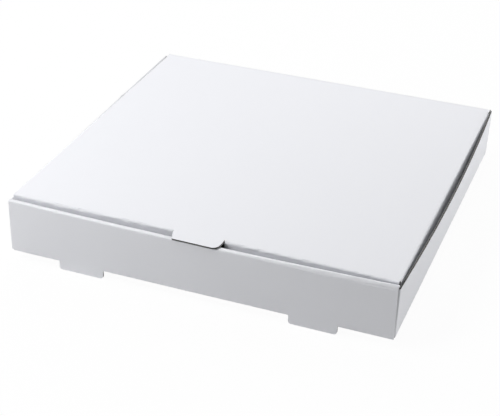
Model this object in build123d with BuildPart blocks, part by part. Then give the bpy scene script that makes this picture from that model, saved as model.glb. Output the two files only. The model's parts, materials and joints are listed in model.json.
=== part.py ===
from build123d import *
from math import atan2, cos, degrees, hypot, radians, sin
import os

# Pizza box folded from one die-cut sheet of white corrugated board.
# Front is -Y, right is +X, and the origin is the middle of the underside of the base.
# The sheet is two solids, the tray and the lid, because the lid swings at the rear fold.

# Board and folds
board = 1.5  # thickness of the corrugated sheet
fold_inside = 0.5  # inside radius of every fold
fold_rise = 1.0  # height over which a wall stands square above its fold
card_gap = 0.2  # air between boards that lie against each other

# Tray
box_width = 310.0  # over the side walls, measured at the base
box_depth = 310.0  # over the front and rear walls, measured at the base
front_height = 45.8  # underside of the base to the top of the rolled front wall
hinge_height = 41.6  # underside of the base to the lid's fold line
side_drop = 0.8  # side walls stop this far under the rolled sheet of the front wall
end_inset = 0.7  # front and rear panels stop this far inside the side walls
inner_inset = 2.2  # the tucked inner front panel stops this far inside the side walls
panel_lift = 0.3  # air between the inner front panel and the base
front_nick = 2.2  # cut across the lower left corner of the front panel
rear_nick = 2.2  # cut across both lower corners of the rear panel

# How far the walls have sprung out at their tops
front_lean = 0.5
front_bow = 3.0
side_lean = 1.0
right_bow = 4.0
left_bow = 0.3

# Feet, and the lock tabs that stand in the slots which the feet leave
foot_spacing = 188.0  # between the middles of the two feet
foot_width = 37.5
foot_height = 6.5
foot_corner = 2.5
lock_gap = 1.2  # clearance on each side of a lock tab
lock_lift = 0.3  # a lock tab ends this far above the underside of the base

# Corner flaps of the side walls
flap_length = 40.0
flap_nick = 6.0  # cut across the free corners of a corner flap
rear_flap_gap = 0.8  # between a rear corner flap and the lid above it
rear_notch = 2.5  # length of side wall that is cut down with the rear corner flap

# Lid
lid_side_gap = 0.4  # between the lid's side flap and the end of the side wall
rest_gap = 0.3  # between the pull tab and the top of the front wall
hinge_gap = 0.3  # between the lid's rear edge and the rear wall
tuck_gap = 0.5  # between the tuck flap's fold and the inner front panel
tuck_play = 0.5  # extra room in front of the tuck flap's free edge as the lid swings
tuck_lift = 9.5  # free edge of the tuck flap above the base
tuck_taper = 6.0  # the tuck flap is this much shorter at each end of its free edge
tuck_corner = 8.0
side_flap_lift = 10.0  # free edge of a lid side flap above the base
side_flap_lean = 0.4  # degrees that a side flap leans away from its wall
side_flap_front = 4.0  # start of a side flap behind the lid's front fold
side_flap_rear = 7.0  # end of a side flap in front of the lid's rear fold
side_flap_front_cut = 5.0
side_flap_rear_cut = 26.0
side_flap_corner = 7.0

# Pull tab, cut out of the tuck flap and left in the plane of the lid
tab_width = 40.4
tab_shift = 1.5  # middle of the tab right of the middle of the lid
tab_reach = 10.4
tab_left_taper = 3.4
tab_right_taper = 1.8
tab_left_corner = 1.2
tab_right_corner = 5.0
tab_slit = 0.4  # clearance between the tab and its window in the tuck flap

# Worked out from the sizes above
half_width = box_width / 2
half_depth = box_depth / 2
fold_radius = board + fold_inside
mid_radius = fold_inside + board / 2
past = 2 * fold_radius  # length that a cutter or an overlap runs past its edge
upright = fold_radius + fold_rise
side_height = front_height - board - side_drop
half_panel = half_width - end_inset
half_inner = half_width - inner_inset
pitch = board + card_gap  # from one board to the next where they lie together
outer_y = -half_depth + board / 2
front_flap_y = outer_y + pitch
inner_y = front_flap_y + pitch
hinge_y = half_depth - board / 2
rear_flap_y = hinge_y - pitch
roll_z = front_height - board / 2
foot_x = foot_spacing / 2
slot_length = foot_height
rear_flap_top = hinge_height - board / 2 - rear_flap_gap
lid_edge = half_width + side_lean - board - lid_side_gap - board / 2
lid_reach = hinge_y - inner_y - board - tuck_gap
lid_slope = degrees(atan2(front_height + rest_gap + board / 2 - hinge_height, hinge_y + half_depth))
hinge_hollow = hypot(board / 2, board / 2 + hinge_gap)
tab_left = tab_shift - tab_width / 2
tab_right = tab_shift + tab_width / 2
tab_end = lid_reach + board / 2 + tab_reach
tuck_depth = front_height - board - tuck_lift
tuck_lean = degrees(atan2(tuck_depth**2 / (2 * lid_reach) + tuck_play, tuck_depth)) - lid_slope
side_flap_depth = hinge_height - board - side_flap_lift
side_flap_tilt = degrees(atan2(side_lean, side_height - upright)) + side_flap_lean

os.makedirs("parts", exist_ok=True)


def front_out(x, z):
    # How far the double front wall has sprung forward at this place
    share = (z - upright) / (roll_z - upright)
    return share * (front_lean + front_bow * (1 - (x / half_width) ** 2))


def front_section(x):
    # The sheet at x: from the base up the outer panel, over the top and down inside
    out = front_out(x, roll_z)
    with BuildSketch(Plane.YZ.offset(x)) as section:
        with BuildLine():
            FilletPolyline(
                (-half_depth + past, board / 2),
                (outer_y, board / 2),
                (outer_y, upright),
                (outer_y - out, roll_z),
                (inner_y - out, roll_z),
                (inner_y, upright),
                (inner_y, board + panel_lift),
                radius=(mid_radius, 0, mid_radius, mid_radius, 0),
            )
        trace(line_width=board)
    return section.sketch


def straight_side_section(z):
    # The right side wall with its two corner flaps, seen from above near the base
    corner_x = half_width - board / 2
    with BuildSketch(Plane.XY.offset(z)) as section:
        with BuildLine():
            FilletPolyline(
                (corner_x - flap_length, front_flap_y),
                (corner_x, front_flap_y),
                (corner_x, rear_flap_y),
                (corner_x - flap_length, rear_flap_y),
                radius=mid_radius,
            )
        trace(line_width=board)
    return section.sketch


def bowed_side_section(z, bow):
    # The same at its top: the wall bows out, and the front flap follows the front wall
    corner_x = half_width - board / 2 + side_lean
    end_x = corner_x - flap_length
    middle_x = corner_x - flap_length / 2
    with BuildSketch(Plane.XY.offset(z)) as section:
        with BuildLine() as path:
            front_flap = ThreePointArc(
                (end_x, front_flap_y - front_out(end_x, z)),
                (middle_x, front_flap_y - front_out(middle_x, z)),
                (corner_x, front_flap_y - front_out(corner_x, z)),
            )
            wall = SagittaArc(front_flap @ 1, (corner_x, rear_flap_y), -bow)
            Line(wall @ 1, (end_x, rear_flap_y))
            fillet(path.vertices().group_by(Axis.X)[-1], radius=mid_radius)
        trace(line_width=board)
    return section.sketch


def folded_side(bow):
    # The right side wall with its corner flaps, sprung out towards the top
    with BuildPart() as side_wall:
        loft([straight_side_section(upright), bowed_side_section(side_height, bow)], ruled=True)
        extrude(straight_side_section(upright), amount=-fold_rise)
        # Outline of the corner flaps, with their free corners nicked
        with BuildSketch(Plane.XZ.offset(-half_depth - past)) as outline:
            with Locations((half_width - board / 2 - flap_length, fold_radius)):
                outline_width = flap_length + side_lean + bow + past
                outline_height = side_height - fold_radius
                Rectangle(outline_width, outline_height, align=(Align.MIN, Align.MIN))
            chamfer(outline.vertices().group_by(Axis.X)[0], length=flap_nick)
        extrude(amount=2 * (half_depth + past), mode=Mode.INTERSECT)
        # The rear flap and the corner beside it pass under the lid
        with BuildSketch(Plane.YZ.offset(half_width + past)):
            with Locations((rear_flap_y - rear_notch, rear_flap_top)):
                Rectangle(past, side_height, align=(Align.MIN, Align.MIN))
        extrude(amount=-flap_length - 2 * past, mode=Mode.SUBTRACT)
        # Fold up from the base, between the two corner flaps
        with BuildSketch(Plane.XZ):
            with BuildLine():
                FilletPolyline(
                    (half_width - past, board / 2),
                    (half_width - board / 2, board / 2),
                    (half_width - board / 2, upright),
                    radius=mid_radius,
                )
            trace(line_width=board)
        extrude(amount=rear_flap_y - mid_radius, both=True)
    return side_wall.part


# Double front wall: one fold of sheet lofted from side to side
with BuildPart() as front_wall:
    loft([front_section(half_panel * step / 2) for step in range(-2, 3)])
    # Outline of the outer panel, with one lower corner nicked
    with BuildSketch(Plane.XZ.offset(half_depth + past)) as outline:
        Rectangle(2 * half_panel, front_height + past, align=(Align.CENTER, Align.MIN))
        chamfer(outline.vertices().group_by(Axis.Y)[0].sort_by(Axis.X)[0], length=front_nick)
    extrude(amount=-3 * past, mode=Mode.INTERSECT)
    # The inner panel is narrower, so that it drops between the side walls
    with BuildSketch(Plane.XZ.offset(half_depth - board - card_gap / 2)):
        with Locations((half_inner + past / 2, 0), (-half_inner - past / 2, 0)):
            Rectangle(past, front_height - fold_radius, align=(Align.CENTER, Align.MIN))
    extrude(amount=-past, mode=Mode.SUBTRACT)

# Rear wall: the fold from the base, and a rounded edge that the lid swings on
with BuildPart() as rear_wall:
    with BuildSketch(Plane.YZ):
        with BuildLine():
            FilletPolyline(
                (half_depth - past, board / 2),
                (hinge_y, board / 2),
                (hinge_y, hinge_height),
                radius=mid_radius,
            )
        trace(line_width=board)
        with Locations((hinge_y, hinge_height)):
            Circle(board / 2)
    extrude(amount=half_panel, both=True)
    with BuildSketch(Plane.XZ.offset(-half_depth + past)) as outline:
        Rectangle(2 * half_panel, front_height + past, align=(Align.CENTER, Align.MIN))
        chamfer(outline.vertices().group_by(Axis.Y)[0], length=rear_nick)
    extrude(amount=-2 * past, mode=Mode.INTERSECT)

# Tray: base and four walls as one folded sheet
with BuildPart() as tray:
    with BuildSketch():
        Rectangle(2 * (half_width - fold_radius), 2 * (half_depth - fold_radius))
    extrude(amount=board)
    add(front_wall.part)
    add(rear_wall.part)
    add(folded_side(right_bow))
    mirror(folded_side(left_bow), about=Plane.YZ)
    # Slots that open as the feet are folded down out of the base
    with BuildSketch(Plane.XY.offset(fold_radius)):
        with Locations((foot_x, -half_depth + board), (-foot_x, -half_depth + board)):
            Rectangle(foot_width, slot_length, align=(Align.CENTER, Align.MIN))
    extrude(amount=-2 * fold_radius, mode=Mode.SUBTRACT)
    # Feet in the plane of the front panel
    with BuildSketch(Plane.XZ.offset(half_depth)) as feet:
        with Locations((foot_x, upright), (-foot_x, upright)):
            Rectangle(foot_width, upright + foot_height, align=(Align.CENTER, Align.MAX))
        fillet(feet.vertices().group_by(Axis.Y)[0], radius=foot_corner)
    extrude(amount=-board)
    # Lock tabs on the inner front panel, standing in the slots
    with BuildSketch(Plane.XZ.offset(-inner_y + board / 2)):
        with Locations((foot_x, lock_lift), (-foot_x, lock_lift)):
            Rectangle(foot_width - 2 * lock_gap, upright - lock_lift, align=(Align.CENTER, Align.MIN))
    extrude(amount=-board)

tray.part.label = "tray"
export_step(tray.part, "parts/tray.step")

# The lid is built flat, with the middle of its fold line at the origin, and placed at the end

# Tuck flap: folded down behind the front wall, with a window that the pull tab leaves
with BuildPart() as tuck_flap:
    with BuildSketch(Plane.YZ):
        with BuildLine():
            FilletPolyline(
                (-lid_reach + past, 0),
                (-lid_reach, 0),
                (
                    -lid_reach + tuck_depth * sin(radians(tuck_lean)),
                    -tuck_depth * cos(radians(tuck_lean)),
                ),
                radius=mid_radius,
            )
        trace(line_width=board)
    extrude(amount=lid_edge, both=True)
    with BuildSketch(Plane.XZ) as outline:
        with BuildLine():
            FilletPolyline(
                (0, board),
                (lid_edge, board),
                (lid_edge, -fold_radius),
                (lid_edge - tuck_taper, -tuck_depth),
                (0, -tuck_depth),
                radius=(0, 0, tuck_corner),
            )
            mirror(about=Plane.YZ)
        make_face()
    extrude(amount=lid_reach + past, mode=Mode.INTERSECT)
    with BuildSketch(Plane.XZ.offset(lid_reach - mid_radius)):
        with Locations((tab_shift, 0)):
            Rectangle(tab_width + 2 * tab_slit, 2 * (tab_reach + tab_slit))
    extrude(amount=past, mode=Mode.SUBTRACT)

# Side flap of the lid: folded down inside the right side wall
with BuildPart() as lid_flap:
    with BuildSketch(Plane.XZ):
        with BuildLine():
            FilletPolyline(
                (lid_edge - past, 0),
                (lid_edge, 0),
                (
                    lid_edge - side_flap_depth * sin(radians(side_flap_tilt)),
                    -side_flap_depth * cos(radians(side_flap_tilt)),
                ),
                radius=mid_radius,
            )
        trace(line_width=board)
    extrude(amount=lid_reach)
    with BuildSketch(Plane.YZ):
        with BuildLine():
            edge = FilletPolyline(
                (-side_flap_rear, board),
                (-side_flap_rear, -fold_radius),
                (-side_flap_rear - side_flap_rear_cut, -side_flap_depth),
                (-lid_reach + side_flap_front + side_flap_front_cut, -side_flap_depth),
                (-lid_reach + side_flap_front, -fold_radius),
                (-lid_reach + side_flap_front, board),
                radius=(0, side_flap_corner, side_flap_corner, 0),
            )
            Line(edge @ 1, edge @ 0)
        make_face()
    extrude(amount=half_width + past, mode=Mode.INTERSECT)

with BuildPart() as flat_lid:
    with BuildSketch(Plane.XY.offset(-board / 2)):
        with Locations((0, -lid_reach / 2)):
            Rectangle(2 * lid_edge, lid_reach)
        # Room for the folds of the tuck flap and the side flaps
        with Locations((0, -lid_reach)):
            Rectangle(2 * lid_edge, 2 * mid_radius, mode=Mode.SUBTRACT)
        with Locations((lid_edge, -side_flap_rear), (-lid_edge, -side_flap_rear)):
            Rectangle(
                2 * mid_radius,
                lid_reach - side_flap_front - side_flap_rear,
                align=(Align.CENTER, Align.MAX),
                mode=Mode.SUBTRACT,
            )
    extrude(amount=board)
    add(tuck_flap.part)
    add(lid_flap.part)
    mirror(lid_flap.part, about=Plane.YZ)
    # Pull tab
    with BuildSketch(Plane.XY.offset(-board / 2)) as tab:
        with BuildLine():
            Polyline(
                (tab_left, -lid_reach + past),
                (tab_left, -lid_reach),
                (tab_left + tab_left_taper, -tab_end),
                (tab_right - tab_right_taper, -tab_end),
                (tab_right, -lid_reach),
                (tab_right, -lid_reach + past),
                close=True,
            )
        make_face()
        fillet(tab.vertices().group_by(Axis.Y)[0].sort_by(Axis.X)[0], radius=tab_left_corner)
        fillet(tab.vertices().group_by(Axis.Y)[0].sort_by(Axis.X)[-1], radius=tab_right_corner)
    extrude(amount=board)
    # Rear edge, hollowed to swing round the rounded edge of the rear wall
    with BuildSketch(Plane.YZ):
        Circle(hinge_hollow)
    extrude(amount=half_width, both=True, mode=Mode.SUBTRACT)

with BuildPart() as lid:
    with Locations(Location((0, hinge_y, hinge_height), (-lid_slope, 0, 0))):
        add(flat_lid.part)

lid.part.label = "lid"
export_step(lid.part, "parts/lid.step")
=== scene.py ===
import json
from math import atan2, hypot, pi, radians

import bmesh
import bpy
from mathutils import Matrix, Vector, noise
from mathutils.bvhtree import BVHTree
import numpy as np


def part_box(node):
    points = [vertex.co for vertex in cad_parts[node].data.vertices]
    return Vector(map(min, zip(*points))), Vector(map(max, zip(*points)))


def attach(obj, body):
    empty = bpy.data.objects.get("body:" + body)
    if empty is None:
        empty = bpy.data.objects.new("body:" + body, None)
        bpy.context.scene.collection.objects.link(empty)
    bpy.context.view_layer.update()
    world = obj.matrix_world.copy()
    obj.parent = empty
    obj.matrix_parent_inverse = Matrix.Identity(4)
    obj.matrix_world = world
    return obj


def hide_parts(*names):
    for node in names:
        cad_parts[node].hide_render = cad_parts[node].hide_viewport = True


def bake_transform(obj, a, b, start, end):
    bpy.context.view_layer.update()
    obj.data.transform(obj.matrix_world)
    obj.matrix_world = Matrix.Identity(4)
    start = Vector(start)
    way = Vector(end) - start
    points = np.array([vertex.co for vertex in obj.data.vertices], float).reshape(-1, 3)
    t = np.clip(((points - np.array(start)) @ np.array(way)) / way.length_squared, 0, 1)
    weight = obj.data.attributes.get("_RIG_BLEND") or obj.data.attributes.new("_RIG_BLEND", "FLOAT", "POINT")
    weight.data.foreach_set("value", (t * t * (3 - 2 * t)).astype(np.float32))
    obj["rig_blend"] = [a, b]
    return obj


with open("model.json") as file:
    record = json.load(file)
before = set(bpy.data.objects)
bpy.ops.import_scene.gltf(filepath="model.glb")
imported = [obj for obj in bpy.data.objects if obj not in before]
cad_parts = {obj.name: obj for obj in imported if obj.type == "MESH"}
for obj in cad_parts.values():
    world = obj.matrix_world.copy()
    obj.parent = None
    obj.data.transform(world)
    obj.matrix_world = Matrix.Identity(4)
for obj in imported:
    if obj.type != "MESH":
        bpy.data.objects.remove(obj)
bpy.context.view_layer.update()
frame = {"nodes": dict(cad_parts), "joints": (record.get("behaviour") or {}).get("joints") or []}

# A white pizza box folded from one sheet of corrugated board: a tray and a lid that is hinged at the rear.
# The outer and inner faces of the sheet are its liners, and its cut edges show the fluting between them.

mm = 0.001
hinge = next(joint for joint in frame["joints"] if joint["name"] == "lid_hinge")
hingePoint = Vector(hinge["pos_m"])
trayLow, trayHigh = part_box("tray")
lidLow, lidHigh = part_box("lid")


# Camera, at the photograph's angle

cameraView = {
    "place": (0.3224, -0.9305, 0.5682),
    "turn": 22.90,      # degrees round the vertical
    "tilt": 60.03,      # degrees up from straight down
    "roll": 0.046,
    "lens": 97.03,      # mm
    "frame": 36,        # width of the film behind it, mm
    "shiftX": 0.1263,
    "shiftY": -0.0228,
    "nearest": 0.01,    # closest distance that it shows
}


def makeCamera(view):
    camera = bpy.data.objects.new("camera", bpy.data.cameras.new("camera"))
    bpy.context.scene.collection.objects.link(camera)
    turned = Matrix.Rotation(radians(view["turn"]), 4, "Z") @ Matrix.Rotation(radians(view["tilt"]), 4, "X")
    turned = turned @ Matrix.Rotation(radians(view["roll"]), 4, "Z")
    camera.matrix_world = Matrix.Translation(view["place"]) @ turned
    camera.data.sensor_width = view["frame"]
    camera.data.lens = view["lens"]
    camera.data.shift_x = view["shiftX"]
    camera.data.shift_y = view["shiftY"]
    camera.data.clip_start = view["nearest"]
    bpy.context.scene.camera = camera


makeCamera(cameraView)
print("camera is set")


# Node helpers for the materials

def newMaterial(name):
    material = bpy.data.materials.new(name)
    material.use_nodes = True
    tree = material.node_tree
    return material, tree, tree.nodes["Principled BSDF"]


def addNode(tree, kind, **settings):
    node = tree.nodes.new(kind)
    for setting, value in settings.items():
        setattr(node, setting, value)
    return node


def feed(tree, node, socket, source):
    # A number or a colour is written on the socket, and anything else is linked to it
    if isinstance(source, (int, float, tuple)):
        node.inputs[socket].default_value = source
    else:
        tree.links.new(source, node.inputs[socket])


def calculate(tree, operation, first, second=0.0, third=0.0):
    node = addNode(tree, "ShaderNodeMath", operation=operation)
    feed(tree, node, 0, first)
    feed(tree, node, 1, second)
    feed(tree, node, 2, third)
    return node.outputs[0]


def blendColors(tree, share, first, second):
    node = addNode(tree, "ShaderNodeMix", data_type="RGBA")
    feed(tree, node, 0, share)
    feed(tree, node, 6, first)
    feed(tree, node, 7, second)
    return node.outputs[2]


def noiseValue(tree, place, scale, detail, roughness):
    node = addNode(tree, "ShaderNodeTexNoise")
    feed(tree, node, "Vector", place)
    feed(tree, node, "Scale", scale)
    feed(tree, node, "Detail", detail)
    feed(tree, node, "Roughness", roughness)
    return node.outputs["Fac"]


# Shared effects

flutePitch = 0.0034     # from one flute to the next

fluteShape = {
    "liner": 0.13,          # share of the board's thickness that each liner takes
    "swing": 0.34,          # how far the waved paper goes to each side of the middle
    "sharpness": 6.0,
    "softness": 0.3,
    "strength": 0.4,        # how clearly the waved paper shows against the liners
}

fibreShape = {
    "clouds": (14.0, 3.0, 0.55),    # scale, detail and roughness of the noise
    "fibres": (900.0, 3.0, 0.65),
    "wander": (25.0, 1.0, 0.5),     # where the ridges of the flutes come and go
    "cloudShare": 0.7,
    "fibreShare": 0.3,
}


def newGroup(name, inputs, outputs):
    group = bpy.data.node_groups.new(name, "ShaderNodeTree")
    for socketName, kind, value in inputs:
        socket = group.interface.new_socket(socketName, in_out="INPUT", socket_type=kind)
        if value is not None:
            socket.default_value = value
    for socketName, kind in outputs:
        group.interface.new_socket(socketName, in_out="OUTPUT", socket_type=kind)
    return group, group.nodes.new("NodeGroupInput").outputs, group.nodes.new("NodeGroupOutput")


def makeFluteGroup(look):
    # Cut edge of the board: two liners and the waved paper between them, with painted shade in the hollows.
    # The board's UV map holds the distance along the edge, in metres, and across it from 0 to 1.
    group, given, result = newGroup(
        "cutFlutes",
        [("Along", "NodeSocketFloat", 0.0), ("Across", "NodeSocketFloat", 0.0),
         ("Pitch", "NodeSocketFloat", flutePitch), ("Liner", "NodeSocketFloat", look["liner"])],
        [("Paper", "NodeSocketFloat"), ("Outer", "NodeSocketFloat")],
    )
    phase = calculate(group, "MULTIPLY", calculate(group, "DIVIDE", given["Along"], given["Pitch"]), 2 * pi)
    wave = calculate(group, "MULTIPLY_ADD", calculate(group, "SINE", phase), look["swing"], 0.5)
    away = calculate(group, "ABSOLUTE", calculate(group, "SUBTRACT", given["Across"], wave))
    away = calculate(group, "MULTIPLY", away, look["sharpness"])
    waved = calculate(group, "SUBTRACT", 1.0, calculate(group, "SMOOTH_MIN", away, 1.0, look["softness"]))
    middle = calculate(group, "ABSOLUTE", calculate(group, "SUBTRACT", given["Across"], 0.5))
    liner = calculate(group, "GREATER_THAN", middle, calculate(group, "SUBTRACT", 0.5, given["Liner"]))
    paper = calculate(group, "MAXIMUM", calculate(group, "MULTIPLY", waved, look["strength"]), liner)
    outer = calculate(group, "GREATER_THAN", given["Across"], calculate(group, "SUBTRACT", 1.0, given["Liner"]))
    group.links.new(paper, result.inputs["Paper"])
    group.links.new(outer, result.inputs["Outer"])
    return group


def makeFibreGroup(look):
    # Face of the board: soft clouding, fine fibres and the faint ridges of the flutes under the liner
    group, given, result = newGroup(
        "boardFibres",
        [("Place", "NodeSocketVector", None), ("Ridge", "NodeSocketFloat", 0.0),
         ("Pitch", "NodeSocketFloat", flutePitch), ("Ridging", "NodeSocketFloat", 0.5)],
        [("Tone", "NodeSocketFloat"), ("Height", "NodeSocketFloat")],
    )
    clouds = noiseValue(group, given["Place"], *look["clouds"])
    fibres = noiseValue(group, given["Place"], *look["fibres"])
    wander = noiseValue(group, given["Place"], *look["wander"])
    phase = calculate(group, "MULTIPLY", calculate(group, "DIVIDE", given["Ridge"], given["Pitch"]), 2 * pi)
    ridges = calculate(group, "MULTIPLY", calculate(group, "SINE", phase), wander)
    fineTone = calculate(group, "MULTIPLY", fibres, look["fibreShare"])
    tone = calculate(group, "MULTIPLY_ADD", clouds, look["cloudShare"], fineTone)
    height = calculate(group, "MULTIPLY_ADD", ridges, given["Ridging"], fineTone)
    group.links.new(tone, result.inputs["Tone"])
    group.links.new(height, result.inputs["Height"])
    return group


cutFlutes = makeFluteGroup(fluteShape)
boardFibres = makeFibreGroup(fibreShape)


# White board

boardLook = {
    "outer": (0.860, 0.868, 0.902, 1.0),
    "outerCloud": (0.838, 0.846, 0.882, 1.0),
    "inner": (0.700, 0.704, 0.712, 1.0),
    "innerCloud": (0.665, 0.669, 0.677, 1.0),
    "paperEdge": (0.50, 0.50, 0.49, 1.0),
    "linerEdge": (0.88, 0.885, 0.89, 1.0),
    # painted shade: the near-black of the open flute hollows on the cut edges
    "hollowShade": (0.015, 0.015, 0.015, 1.0),
    "roughness": 0.52,
    "cloudRoughness": 0.08,     # added where the clouding is pale
    "innerRoughness": 0.2,      # and on the inner liner
    "cutRoughness": 0.35,       # and on the cut edges
    "specular": 0.4,
    "ridging": 0.35,
    "bump": 0.00002,
}


def makeBoardMaterial(look):
    material, tree, shader = newMaterial("whiteBoard")
    place = addNode(tree, "ShaderNodeTexCoord").outputs["Object"]
    sheetMap = addNode(tree, "ShaderNodeUVMap", uv_map="sheet").outputs["UV"]
    split = addNode(tree, "ShaderNodeSeparateXYZ")
    tree.links.new(sheetMap, split.inputs[0])
    cut = addNode(tree, "ShaderNodeAttribute", attribute_name="cutEdge").outputs["Fac"]
    inside = addNode(tree, "ShaderNodeAttribute", attribute_name="innerLiner").outputs["Fac"]

    fibres = addNode(tree, "ShaderNodeGroup", node_tree=boardFibres)
    tree.links.new(place, fibres.inputs["Place"])
    tree.links.new(split.outputs["Y"], fibres.inputs["Ridge"])
    fibres.inputs["Ridging"].default_value = look["ridging"]
    flutes = addNode(tree, "ShaderNodeGroup", node_tree=cutFlutes)
    tree.links.new(split.outputs["X"], flutes.inputs["Along"])
    tree.links.new(split.outputs["Y"], flutes.inputs["Across"])

    tone = fibres.outputs["Tone"]
    outer = blendColors(tree, tone, look["outerCloud"], look["outer"])
    inner = blendColors(tree, tone, look["innerCloud"], look["inner"])
    face = blendColors(tree, inside, outer, inner)
    # the hollows between the waved paper get the painted shade colour
    edge = blendColors(tree, flutes.outputs["Paper"], look["hollowShade"], look["paperEdge"])
    edge = blendColors(tree, flutes.outputs["Outer"], edge, look["linerEdge"])
    tree.links.new(blendColors(tree, cut, face, edge), shader.inputs["Base Color"])

    rough = calculate(tree, "MULTIPLY_ADD", tone, look["cloudRoughness"], look["roughness"])
    rough = calculate(tree, "MULTIPLY_ADD", inside, look["innerRoughness"], rough)
    rough = calculate(tree, "MULTIPLY_ADD", cut, look["cutRoughness"], rough)
    tree.links.new(rough, shader.inputs["Roughness"])
    shader.inputs["Specular IOR Level"].default_value = look["specular"]

    bump = addNode(tree, "ShaderNodeBump")
    bump.inputs["Distance"].default_value = look["bump"]
    facing = calculate(tree, "SUBTRACT", 1.0, cut)
    tree.links.new(calculate(tree, "MULTIPLY", fibres.outputs["Height"], facing), bump.inputs["Height"])
    tree.links.new(bump.outputs["Normal"], shader.inputs["Normal"])
    return material


whiteBoard = makeBoardMaterial(boardLook)
print("materials are made")


# The folded sheet: a copy of each solid's skin, cut into a fine grid so that it can bend

sheetWork = {
    "merge": 0.03 * mm,         # points closer than this become one
    "flat": 0.05,               # degrees between faces that become one
    "onCut": 0.0005 * mm,       # points closer to a new cut than this lie on it
    "lookFrom": 0.01 * mm,      # depth under a face where the look into the board starts
    "lookThrough": 2.6,         # thicknesses that it goes through
    "sharpCorner": 50,          # degrees of a corner that no liner goes round
    "squareOn": 0.9,            # share of its normal along the axis that a face looks along
    "alongFlutes": 0.02,        # how fast the wave passes where a cut runs along the flutes
}


def sheetCopy(nodeName):
    work = bmesh.new()
    work.from_mesh(frame["nodes"][nodeName].data)
    bmesh.ops.remove_doubles(work, verts=work.verts, dist=sheetWork["merge"])
    flat = radians(sheetWork["flat"])
    bmesh.ops.dissolve_limit(work, angle_limit=flat, verts=work.verts, edges=work.edges)
    return work


def gridCut(work, axis, start, end, step, wanted=None):
    # Parallel cuts through the whole sheet, or through the faces whose middle is wanted
    normal = Vector((0, 0, 0))
    normal[axis] = 1
    count = round((end - start) / step)
    faces = [face for face in work.faces if wanted is None or wanted(face.calc_center_median())]
    # Each edge and point once, in the same order each run
    edges = dict.fromkeys(edge for face in faces for edge in face.edges)
    verts = dict.fromkeys(vert for face in faces for vert in face.verts)
    geometry = faces + list(edges) + list(verts)
    onCut = sheetWork["onCut"]
    for index in range(count + 1):
        point = normal * (start + (end - start) * index / max(count, 1))
        made = bmesh.ops.bisect_plane(work, geom=geometry, dist=onCut, plane_co=point, plane_no=normal)
        geometry = made["geom"]


def findCutEdges(work, thickness):
    # Looking straight into the board, a liner has the other liner close behind it, and a cut edge has none
    tree = BVHTree.FromBMesh(work)
    depth = sheetWork["lookThrough"] * thickness
    cut = set()
    for face in work.faces:
        inward = -face.normal
        start = face.calc_center_median() + inward * sheetWork["lookFrom"]
        if tree.ray_cast(start, inward, depth)[0] is None:
            cut.add(face)
    return cut


def findOuterLiner(liners, cut, core, seedsFrom):
    # Faces behind seedsFrom that look away from the core of the box are outside.
    # So is everything that joins them round the folds, without crossing a cut edge or a sharp corner.
    outer = set()
    for face in liners:
        place = face.calc_center_median()
        if place.y > seedsFrom and face.normal.dot(place - core) > 0:
            outer.add(face)
    waiting = list(outer)
    while waiting:
        face = waiting.pop()
        for edge in face.edges:
            if edge.calc_face_angle(pi) > radians(sheetWork["sharpCorner"]):
                continue
            for other in edge.link_faces:
                if other not in outer and other not in cut:
                    outer.add(other)
                    waiting.append(other)
    return outer


def mainAxis(vector):
    return max(range(3), key=lambda axis: abs(vector[axis]))


def ramp(value, start, full):
    # 0 up to start, 1 from full on, and even between them
    return min(max((value - start) / (full - start), 0), 1)


def unevenness(x, pace, share, seed):
    # Smooth random rise and fall along x, up to about share either way
    return share * noise.noise(Vector((x * pace, 0, seed)))


def markSheet(work, thickness, core, seedsFrom):
    # Writes which faces are cut edges or inner liner, and the sheet's own map.
    # The flutes run from left to right in the flat panels and the front and rear walls, and up the side walls.
    cutLayer = work.faces.layers.float.new("cutEdge")
    innerLayer = work.faces.layers.float.new("innerLiner")
    sheetMap = work.loops.layers.uv.new("sheet")
    cut = findCutEdges(work, thickness)
    liners = [face for face in work.faces if face not in cut]
    outer = findOuterLiner(liners, cut, Vector(core), seedsFrom)
    for face in liners:
        face[innerLayer] = 0.0 if face in outer else 1.0
        facing = mainAxis(face.normal)
        for loop in face.loops:
            place = loop.vert.co
            loop[sheetMap].uv = (place.x, place.z) if facing == 1 else (place[2 - facing], place.y)
    for face in cut:
        face[cutLayer] = 1.0
        across = {}
        for vert in face.verts:
            kinds = {other in outer for other in vert.link_faces if other not in cut}
            across[vert] = 0.5 if len(kinds) != 1 else float(kinds.pop())
        ends = [sum((vert.co for vert in across if across[vert] == end), Vector()) for end in (0.0, 1.0)]
        counts = [max(1, sum(across[vert] == end for vert in across)) for end in (0.0, 1.0)]
        thick = ends[1] / counts[1] - ends[0] / counts[0]
        alongAxis = mainAxis(thick.cross(face.normal))
        fluteAxis = 2 if mainAxis(thick) == 0 else 0
        stretch = sheetWork["alongFlutes"] if alongAxis == fluteAxis else 1.0
        for loop in face.loops:
            loop[sheetMap].uv = (loop.vert.co[alongAxis] * stretch, across[loop.vert])
    print("liner faces", len(liners), "outer", len(outer), "cut faces", len(cut))


def squareUp(first, second, power):
    # How far to scale a point, given from the middle of a round fold, to make the fold squarer
    return hypot(first, second) / (abs(first) ** power + abs(second) ** power) ** (1 / power)


def finishSheet(work, pieceName, bodyName, sharpAngle):
    bmesh.ops.triangulate(work, faces=work.faces[:])
    for edge in work.edges:
        edge.smooth = len(edge.link_faces) == 2 and edge.calc_face_angle(0.0) < radians(sharpAngle)
    for face in work.faces:
        face.smooth = True
    mesh = bpy.data.meshes.new(pieceName)
    work.to_mesh(mesh)
    work.free()
    piece = bpy.data.objects.new(pieceName, mesh)
    bpy.context.scene.collection.objects.link(piece)
    mesh.materials.append(whiteBoard)
    weights = piece.modifiers.new("evenShading", "WEIGHTED_NORMAL")
    weights.keep_sharp = True
    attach(piece, bodyName)
    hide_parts(bodyName)
    print(pieceName, len(mesh.polygons), "faces")
    return piece


# Tray

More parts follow.
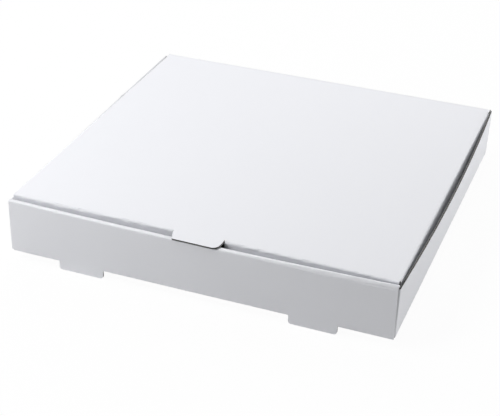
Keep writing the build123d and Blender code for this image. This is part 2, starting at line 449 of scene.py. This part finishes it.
frontWall = {
    "middleY": -0.15425,    # middle of the board in the outer panel, where it begins to lean
    "footZ": 0.003,
    "headroom": 0.00375,    # it leans over the height of the wall less this
    "lean": 0.0005,         # how far forward its top stands at the ends
    "bow": 0.0030,          # and how much further at its middle
    "halfWidth": 0.155,
    "halfBoard": 0.00075,
    "rollRadius": 0.00125,  # of the round fold on top, to the middle of the board
    "rollDrop": 0.002,      # middle of that fold below the top
}


def frontOut(x, wall=frontWall):
    # How far the front wall's top has sprung forward
    return wall["lean"] + wall["bow"] * (1 - (x / wall["halfWidth"]) ** 2)


def frontFace(x, z, wall=frontWall):
    # Outer face of the front wall
    rise = trayHigh.z - wall["headroom"]
    out = frontOut(x)
    return wall["middleY"] - out * (z - wall["footZ"]) / rise - wall["halfBoard"] * hypot(rise, out) / rise


def rollMiddle(x, wall=frontWall):
    # Middle of the round fold at the top of the front wall's outer panel
    rise = trayHigh.z - wall["headroom"]
    out = frontOut(x)
    y = wall["middleY"] - out + wall["rollRadius"] * (hypot(rise, out) + out) / rise
    return y, trayHigh.z - wall["rollDrop"]


traySheet = {
    "cuts": [(0, -0.150, 0.150, 0.010), (1, -0.150, 0.150, 0.010), (2, 0.006, 0.038, 0.010)],   # axis, range, step
    "rollCuts": [(2, 0.0405, 0.0455, 0.0005), (1, -0.1595, -0.1530, 0.0005), (0, -0.153, 0.1545, 0.0015)],
    "rollBack": -0.1515,    # the rolled top is in front of this and above the next
    "rollLow": 0.0395,
    "core": (0, 0, 0.020),
    "seedsFrom": -0.140,
    "thickness": 0.0015,
    "foldRadius": 0.002,
    "sharpAngle": 32,
    "foldPower": 5,         # how square the front wall's rolled top is
    "foldWear": 0.00012,
    "wearPace": 220,        # a pace is how many rises and falls of the noise there are to a metre
    "wearSeed": 3.7,
}

cornerFolds = {
    "power": 4,             # how square the upright folds at the front corners are
    "beside": 0.1530,       # their middles
    "aheadY": -0.1513,
    "spread": (0.0010, 0.0005),     # how far the middles have moved out at the top
    "leanFrom": 0.003,
    "leanTo": 0.0435,
    "lowest": 0.0022,
    "reach": (0.001, 0.00212),      # radii between which the sheet lies
}

panelEnds = {
    "place": 0.1543,        # ends of the front panel, from the middle
    "within": 0.0001,
    "aheadOf": -0.150,
    "lowest": 0.0025,
    "shift": 0.00035,       # they stand this much closer to the side walls
    "tone": 0.35,           # how dark their crushed cut edges are
}

leftEdge = {
    "leftOf": -0.152,
    "lowest": 0.035,
    "tone": 0.25,           # how dark the left wall's upper cut edge is; it is lightened as painted light from the left
    "drop": 0.0014,         # and how much lower it stands at the rear
    "dropFrom": -0.030,
    "dropTo": 0.155,
}

crushedRoll = {
    "from": 0.010,          # x where the crushed corner of the rolled top begins
    "to": 0.110,            # x where it has its full size
    "growth": 0.7,          # it grows faster at first
    "height": 0.0032,
    "depth": 0.0026,
    "bulge": 0.0007,        # how far the slope's middle stands out
    "below": 0.006,         # only points that are less than this below the top are moved
    "behind": 0.0022,       # less than this behind the middle of the round fold
    "inside": 0.0009,       # and, above that middle, no closer to it than this
    "slow": (75, 0.32, 7.3),    # pace, share and seed of its unevenness
    "quick": (260, 0.15, 2.1),
    "wrinkle": 0.00032,
    "wrinklePace": (80, 750),
    "wrinkleSeed": 5.5,
    "wrinkleDepth": 0.0003,     # wrinkles are at their full size where the press is this deep
}


def squareRoll(work, look):
    for vert in work.verts:
        place = vert.co
        middleY, middleZ = rollMiddle(place.x)
        alongY, alongZ = place.y - middleY, place.z - middleZ
        if alongZ > 0 > alongY and hypot(alongY, alongZ) > look["foldRadius"] / 2:
            scale = squareUp(alongY, alongZ, look["foldPower"])
            corner = 2 * abs(alongY * alongZ) / (alongY ** 2 + alongZ ** 2)
            wear = look["foldWear"] * corner * noise.noise(Vector((place.x * look["wearPace"], look["wearSeed"], 0)))
            place.y = middleY + alongY * scale + wear
            place.z = middleZ + alongZ * scale - abs(wear)


def squareCorners(work, look):
    # The upright folds between the side walls and their front corner flaps
    nearest, furthest = look["reach"]
    for vert in work.verts:
        place = vert.co
        share = ramp(place.z, look["leanFrom"], look["leanTo"])
        beside = abs(place.x) - look["beside"] - look["spread"][0] * share
        ahead = look["aheadY"] - look["spread"][1] * share - place.y
        if beside > 0 and ahead > 0 and place.z > look["lowest"] and nearest < hypot(beside, ahead) < furthest:
            scale = squareUp(beside, ahead, look["power"])
            place.x += (1 if place.x > 0 else -1) * beside * (scale - 1)
            place.y -= ahead * (scale - 1)


def closeEnds(work, look):
    # The cut ends of the front panel, crushed against the side walls
    cutLayer = work.faces.layers.float["cutEdge"]
    moved = set()
    for face in work.faces:
        place = face.calc_center_median()
        atEnd = abs(abs(place.x) - look["place"]) < look["within"] and place.y < look["aheadOf"]
        if atEnd and abs(face.normal.x) > sheetWork["squareOn"]:
            face[cutLayer] = look["tone"]
            moved.update(vert for vert in face.verts if vert.co.z > look["lowest"])
    for vert in moved:
        vert.co.x += look["shift"] if vert.co.x > 0 else -look["shift"]


def lowerLeftEdgeAndPaintLight(work, look):
    # The upper cut edge of the left wall is painted lighter, as painted light from the left, and stands a little
    # lower towards the rear
    cutLayer = work.faces.layers.float["cutEdge"]
    edge = []
    for face in work.faces:
        place = face.calc_center_median()
        upward = face[cutLayer] == 1.0 and face.normal.z > sheetWork["squareOn"]
        if upward and place.x < look["leftOf"] and place.z > look["lowest"]:
            edge.append(face)
            # painted light: the edge takes mostly the face's colour
            face[cutLayer] = look["tone"]
    for vert in {vert for face in edge for vert in face.verts}:
        vert.co.z -= look["drop"] * ramp(vert.co.y, look["dropFrom"], look["dropTo"])
    print("left edge is closed,", len(edge), "faces")


def crushRoll(work, look):
    # Towards the right the outer corner of the rolled top is pressed in to a ragged, rounded slope
    for vert in work.verts:
        place = vert.co
        middleY, middleZ = rollMiddle(place.x)
        share = ramp(place.x, look["from"], look["to"])
        if share == 0 or place.z < trayHigh.z - look["below"] or place.y > middleY + look["behind"]:
            continue
        if hypot(place.y - middleY, place.z - middleZ) < look["inside"] and place.z > middleZ:
            continue
        ragged = unevenness(place.x, *look["slow"]) + unevenness(place.x, *look["quick"])
        share = share ** look["growth"] * (1 + ragged)
        height = look["height"] * share
        depth = look["depth"] * share
        low = trayHigh.z - height
        away = Vector((-height, depth)).normalized()
        start = Vector((place.y - frontFace(place.x, low), place.z - low))
        over = start.dot(away)
        if over > 0:
            paceX, paceZ = look["wrinklePace"]
            spot = Vector((place.x * paceX, place.z * paceZ, look["wrinkleSeed"]))
            wrinkle = look["wrinkle"] * noise.noise(spot)
            slide = start.dot(Vector((depth, height)).normalized()) / hypot(depth, height)
            bulge = look["bulge"] * share * max(0, 1 - (2 * slide - 1) ** 2)
            press = max(0, over - bulge) + wrinkle * min(1, over / look["wrinkleDepth"])
            place.y -= away.x * press
            place.z -= away.y * press


def makeTray(look):
    work = sheetCopy("tray")
    for cut in look["cuts"]:
        gridCut(work, *cut)

    def nearRoll(place):
        return place.y < look["rollBack"] and place.z > look["rollLow"]

    for cut in look["rollCuts"]:
        gridCut(work, *cut, nearRoll)
    markSheet(work, look["thickness"], look["core"], look["seedsFrom"])
    squareCorners(work, cornerFolds)
    closeEnds(work, panelEnds)
    squareRoll(work, look)
    lowerLeftEdgeAndPaintLight(work, leftEdge)
    crushRoll(work, crushedRoll)
    return finishSheet(work, "folded_tray", "tray", look["sharpAngle"])


makeTray(traySheet)


# Lid

lidSheet = {
    "cuts": [(0, -0.150, 0.150, 0.010), (1, -0.155, 0.145, 0.010), (2, 0.015, 0.039, 0.010)],
    "creaseCut": (0, -0.153, 0.153, 0.0015),
    "creaseBack": -0.1455,  # the front crease is in front of this and above the next
    "creaseLow": 0.0445,
    "core": (0, 0, 0.030),
    "seedsFrom": -1.0,
    "thickness": 0.0015,
    "foldRadius": 0.002,
    "foldReach": 1.02,      # radii within which the front crease is made squarer
    "sharpAngle": 32,
    "tabRise": 0.00105,     # middle of the board at the tab, above the front wall
    "tabReach": 0.30925,    # from the hinge line to there
    "sideFold": 0.15206,    # middles of the round folds, from the hinge line in the lid's own plane
    "frontFold": -0.30178,
    "foldDrop": -0.00125,
    "sidePower": 5,
    "frontPower": 4,
    "frontWear": 0.0009,    # the front crease is softly ragged
    "wearStart": 0.25,
    "slow": (130, 0.6, 4.4),    # pace, share and seed of its unevenness
    "quick": (380, 0.5, 9.1),
    "flapFront": -0.2991,   # front edges of the side flaps, moved ahead to close the corners
    "flapWithin": 0.0003,
    "flapAhead": 0.0017,
    "flapBelow": 0.0021,
    "flapInside": -0.0012,
    "undercut": (0.12, 0.45),   # slope of the tuck flap just under the crease, at the left and the right
    "undercutSpan": 0.13,       # to each side of the middle
    "undercutFrom": 0.0002,     # only what is more than this ahead of the fold's middle
    "undercutReach": 0.0024,
    "tabKept": (0.0004, 0.0022),    # the pull tab is above and ahead of these
    "twist": 0.0012,        # front corners: left one up and right one down by this
    "sag": 0.0004,          # both front corners down by this
}

lidSlope = atan2(trayHigh.z + lidSheet["tabRise"] - hingePoint.z, lidSheet["tabReach"])
lidPlace = Matrix.Translation(hingePoint) @ Matrix.Rotation(-lidSlope, 4, "X")


def squareFolds(work, look):
    back = lidPlace.inverted()
    radius = look["foldRadius"]
    for vert in work.verts:
        place = back @ vert.co
        drop = place.z - look["foldDrop"]
        beside = abs(place.x) - look["sideFold"]
        ahead = look["frontFold"] - place.y
        if drop > 0 and beside > 0 and ahead < 0 and hypot(beside, drop) > radius / 2:
            scale = squareUp(beside, drop, look["sidePower"])
            place.x += (1 if place.x > 0 else -1) * beside * (scale - 1)
            place.z += drop * (scale - 1)
        if drop > 0 and 0 < ahead < look["foldReach"] * radius and hypot(ahead, drop) > radius / 2:
            scale = squareUp(ahead, drop, look["frontPower"])
            corner = 2 * ahead * drop / (ahead ** 2 + drop ** 2)
            ragged = unevenness(place.x, *look["slow"]) + unevenness(place.x, *look["quick"])
            wear = look["frontWear"] * corner * max(0, look["wearStart"] + ragged)
            place.y -= ahead * (scale - 1) - wear
            place.z += drop * (scale - 1) - wear
        onTab = drop > look["tabKept"][0] and ahead > look["tabKept"][1]
        if ahead > look["undercutFrom"] and not onTab:
            left, right = look["undercut"]
            undercut = left + ramp(place.x, -look["undercutSpan"], look["undercutSpan"]) * (right - left)
            place.y += undercut * min(max(radius - drop, 0), look["undercutReach"])
        onFlap = drop < look["flapBelow"] and beside > look["flapInside"]
        if onFlap and abs(place.y - look["flapFront"]) < look["flapWithin"]:
            place.y -= look["flapAhead"]
        vert.co = lidPlace @ place


def twistLid(work, look):
    reach = hingePoint.y - lidLow.y
    halfWidth = lidHigh.x
    for vert in work.verts:
        place = vert.co
        forward = max(0.0, (hingePoint.y - place.y) / reach)
        across = place.x / halfWidth
        place.z -= forward * (look["twist"] * across + look["sag"] * across * across)


def makeLid(look):
    work = sheetCopy("lid")
    for cut in look["cuts"]:
        gridCut(work, *cut)

    def nearCrease(place):
        return place.y < look["creaseBack"] and place.z > look["creaseLow"]

    gridCut(work, *look["creaseCut"], nearCrease)
    markSheet(work, look["thickness"], look["core"], look["seedsFrom"])
    squareFolds(work, look)
    twistLid(work, look)
    return finishSheet(work, "folded_lid", "lid", look["sharpAngle"])


makeLid(lidSheet)


# Liners that carry the sheet round the hinge fold, bent between the tray and the lid

hingeStrips = {
    "hinge_outside": {
        # Distances from the hinge line, in mm: back and up
        "profile": [
            (0.78, -1.2), (0.78, -0.3), (0.76, 0.15), (0.66, 0.42), (0.46, 0.64),
            (0.20, 0.77), (-0.10, 0.80), (-0.60, 0.81), (-1.20, 0.81), (-1.70, 0.82),
        ],
        "reach": 0.1533,    # to each side of the middle
        "cut": (0, -0.150, 0.150, 0.0075),
        "inner": 0.0,
    },
    "hinge_inside": {
        "profile": [(-0.80, -1.6), (-0.82, -1.2), (-0.92, -0.98), (-1.15, -0.84), (-1.45, -0.80), (-1.75, -0.80)],
        "reach": 0.1533,
        "cut": (0, -0.150, 0.150, 0.0075),
        "inner": 1.0,
    },
}


def makeHingeStrip(pieceName, look):
    work = bmesh.new()
    innerLayer = work.faces.layers.float.new("innerLiner")
    sheetMap = work.loops.layers.uv.new("sheet")
    places = [hingePoint + Vector((0, back * mm, up * mm)) for back, up in look["profile"]]
    # A flat sheet from -0.5 to 0.5 with a row of points for each place, which is then bent along the profile
    bmesh.ops.create_grid(work, x_segments=1, y_segments=len(places) - 1, size=0.5)
    for vert in work.verts:
        place = places[round((vert.co.y + 0.5) * (len(places) - 1))]
        vert.co = (place.x + 2 * look["reach"] * vert.co.x, place.y, place.z)
    gridCut(work, *look["cut"])
    work.normal_update()
    inward = [face for face in work.faces if face.normal.dot(face.calc_center_median() - hingePoint) < 0]
    bmesh.ops.reverse_faces(work, faces=inward)
    for face in work.faces:
        face.smooth = True
        face[innerLayer] = look["inner"]
        for loop in face.loops:
            loop[sheetMap].uv = (loop.vert.co.x, loop.vert.co.y)
    mesh = bpy.data.meshes.new(pieceName)
    work.to_mesh(mesh)
    work.free()
    print(pieceName, len(mesh.polygons), "faces")
    piece = bpy.data.objects.new(pieceName, mesh)
    bpy.context.scene.collection.objects.link(piece)
    mesh.materials.append(whiteBoard)
    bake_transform(piece, "tray", "lid", start=tuple(places[0]), end=tuple(places[-1]))
    return piece


for stripName, stripLook in hingeStrips.items():
    makeHingeStrip(stripName, stripLook)
print("hinge fold is made")


# Floor and light

white = (1.0, 1.0, 1.0, 1.0)

stageLook = {
    "floorSize": 8.0,
    "floorGap": 0.02 * mm,  # under the feet of the box
    "floorRoughness": 0.9,
    "floorTone": 0.80,      # how much light the floor throws back at the box
    "seenGlow": 0.96,       # how far the floor is lifted to white where it is looked at
    "worldStrength": 0.024,
    "worldColor": (0.97, 0.985, 1.0, 1.0),
}


def seenRay(tree):
    # 1 where the floor or the background is looked at, directly, in a reflection or through glass
    path = addNode(tree, "ShaderNodeLightPath").outputs
    seen = calculate(tree, "MAXIMUM", path["Is Camera Ray"], path["Is Glossy Ray"])
    return calculate(tree, "MAXIMUM", seen, path["Is Transmission Ray"])


def makeFloor(look):
    floorMesh = bpy.data.meshes.new("floor")
    work = bmesh.new()
    bmesh.ops.create_grid(work, x_segments=1, y_segments=1, size=look["floorSize"] / 2)
    work.to_mesh(floorMesh)
    work.free()
    floor = bpy.data.objects.new("floor", floorMesh)
    floor.location.z = trayLow.z - look["floorGap"]
    bpy.context.scene.collection.objects.link(floor)
    material, tree, shader = newMaterial("paleFloor")
    seen = seenRay(tree)
    plain = (look["floorTone"],) * 3 + (1.0,)
    shown = (1 - look["seenGlow"],) * 3 + (1.0,)
    tree.links.new(blendColors(tree, seen, plain, shown), shader.inputs["Base Color"])
    tree.links.new(calculate(tree, "MULTIPLY", seen, look["seenGlow"]), shader.inputs["Emission Strength"])
    shader.inputs["Emission Color"].default_value = white
    shader.inputs["Roughness"].default_value = look["floorRoughness"]
    shader.inputs["Specular IOR Level"].default_value = 0.0
    floorMesh.materials.append(material)
    return floor


def makeWorld(look):
    world = bpy.data.worlds.new("studio")
    world.use_nodes = True
    tree = world.node_tree
    background = tree.nodes["Background"]
    seen = seenRay(tree)
    tree.links.new(blendColors(tree, seen, look["worldColor"], white), background.inputs["Color"])
    strength = calculate(tree, "MULTIPLY_ADD", seen, 1 - look["worldStrength"], look["worldStrength"])
    tree.links.new(strength, background.inputs["Strength"])
    bpy.context.scene.world = world


softLights = {
    "rear": {"place": (0.0, 1.8, 1.0), "size": 1.5, "power": 13.7},
    "rightLow": {"place": (2.0, 0.6, 0.35), "size": 1.0, "power": 9.7},
    "rearLeft": {"place": (-0.6, 0.5, 0.9), "size": 0.6, "power": 3.0},
    "frontLeft": {"place": (-0.8, -0.9, 0.6), "size": 0.5, "power": 5.4},
    "rearRight": {"place": (1.0, 0.9, 0.3), "size": 0.5, "power": 5.8},
    "leftHigh": {"place": (-0.7, -0.4, 1.1), "size": 0.7, "power": 8.8},
}


def makeLights(lights):
    for lightName, look in lights.items():
        lamp = bpy.data.lights.new(lightName, "AREA")
        lamp.shape = "DISK"
        lamp.size = look["size"]
        lamp.energy = look["power"]
        light = bpy.data.objects.new(lightName, lamp)
        light.location = look["place"]
        light.rotation_euler = (-Vector(look["place"])).to_track_quat("-Z", "Y").to_euler()
        bpy.context.scene.collection.objects.link(light)


makeFloor(stageLook)
makeWorld(stageLook)
makeLights(softLights)
bpy.context.scene.view_settings.view_transform = "Standard"
print("stage is lit")
